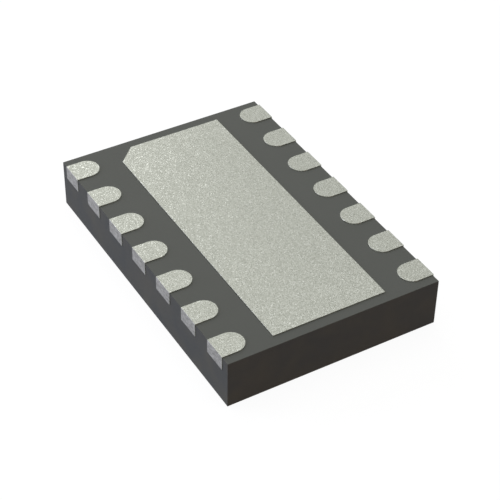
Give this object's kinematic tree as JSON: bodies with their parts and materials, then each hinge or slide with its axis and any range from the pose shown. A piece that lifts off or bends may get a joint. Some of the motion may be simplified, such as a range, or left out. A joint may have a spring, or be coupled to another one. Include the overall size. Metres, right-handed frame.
{
  "type": "leadless dual flat chip package",
  "caption": "Flat rectangular chip package without legs, solder side up: a bare thermal pad with one clipped corner between two rows of D-shaped lands.",
  "frame": {"origin": "middle of the marked face, which the chip lies on with its solder side up", "axes": "+X along the rows of lands, away from the clipped pad corner; +Y across the rows; +Z out of the solder side"},
  "size_m": [0.0044, 0.003, 0.0007],
  "materials": {
    "mould_compound": "fine matte black-grey epoxy mould compound",
    "tin_plated_copper": "matte tin plate with a fine grain, grey sawn ends",
    "silver_glue": "silver-filled epoxy",
    "silicon": "polished silicon",
    "gold_wire": "bright gold wire"
  },
  "bodies": {
    "root": {"mould_body": "mould_compound", "die_paddle": "tin_plated_copper", "lead_01": "tin_plated_copper", "lead_02": "tin_plated_copper", "lead_03": "tin_plated_copper", "lead_04": "tin_plated_copper", "lead_05": "tin_plated_copper", "lead_06": "tin_plated_copper", "lead_07": "tin_plated_copper", "lead_08": "tin_plated_copper", "lead_09": "tin_plated_copper", "lead_10": "tin_plated_copper", "lead_11": "tin_plated_copper", "lead_12": "tin_plated_copper", "lead_13": "tin_plated_copper", "lead_14": "tin_plated_copper", "die_attach": "silver_glue", "silicon_die": "silicon", "bond_wire_01": "gold_wire", "bond_wire_02": "gold_wire", "bond_wire_03": "gold_wire", "bond_wire_04": "gold_wire", "bond_wire_05": "gold_wire", "bond_wire_06": "gold_wire", "bond_wire_07": "gold_wire", "bond_wire_08": "gold_wire", "bond_wire_09": "gold_wire", "bond_wire_10": "gold_wire", "bond_wire_11": "gold_wire", "bond_wire_12": "gold_wire", "bond_wire_13": "gold_wire", "bond_wire_14": "gold_wire"}
  },
  "joints": []
}
